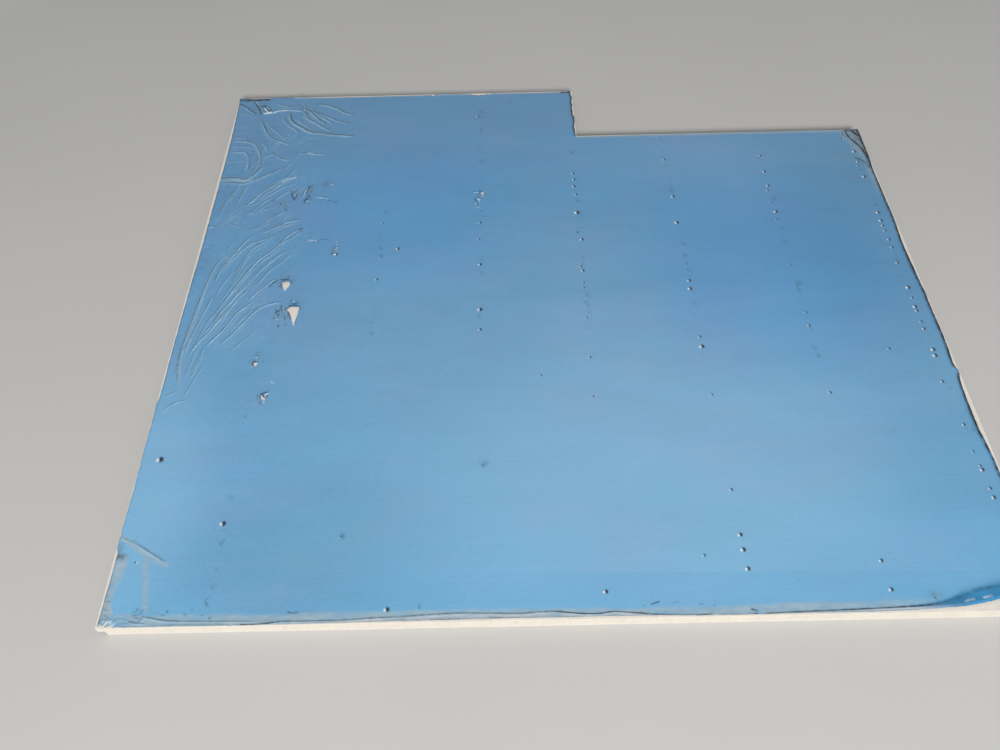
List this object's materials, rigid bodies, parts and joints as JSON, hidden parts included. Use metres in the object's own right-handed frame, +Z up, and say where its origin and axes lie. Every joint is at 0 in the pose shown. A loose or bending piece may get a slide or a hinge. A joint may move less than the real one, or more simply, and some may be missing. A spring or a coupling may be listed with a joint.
{
  "type": "insulated sandwich panel",
  "caption": "Flat insulated sandwich panel: foam core between thin white skins, half-lapped side edge, a cut-out corner, blue protective film still on its face.",
  "frame": {"origin": "middle of the underside, on the floor", "axes": "+X along the length, from the half-lapped edge to the straight one; +Y to the far edge, where the corner is cut out; +Z up, out of the filmed face"},
  "size_m": [2.1, 1.884, 0.0361],
  "materials": {
    "bottom_skin": "smooth white glass-fibre laminate, dusty",
    "core": "sawn rigid foam",
    "top_skin": "smooth white glass-fibre laminate",
    "protective_film": "thin blue film, satin, creased and torn"
  },
  "bodies": {
    "root": {"bottom_skin": "bottom_skin", "core": "core", "top_skin": "top_skin", "protective_film": "protective_film"}
  },
  "joints": []
}
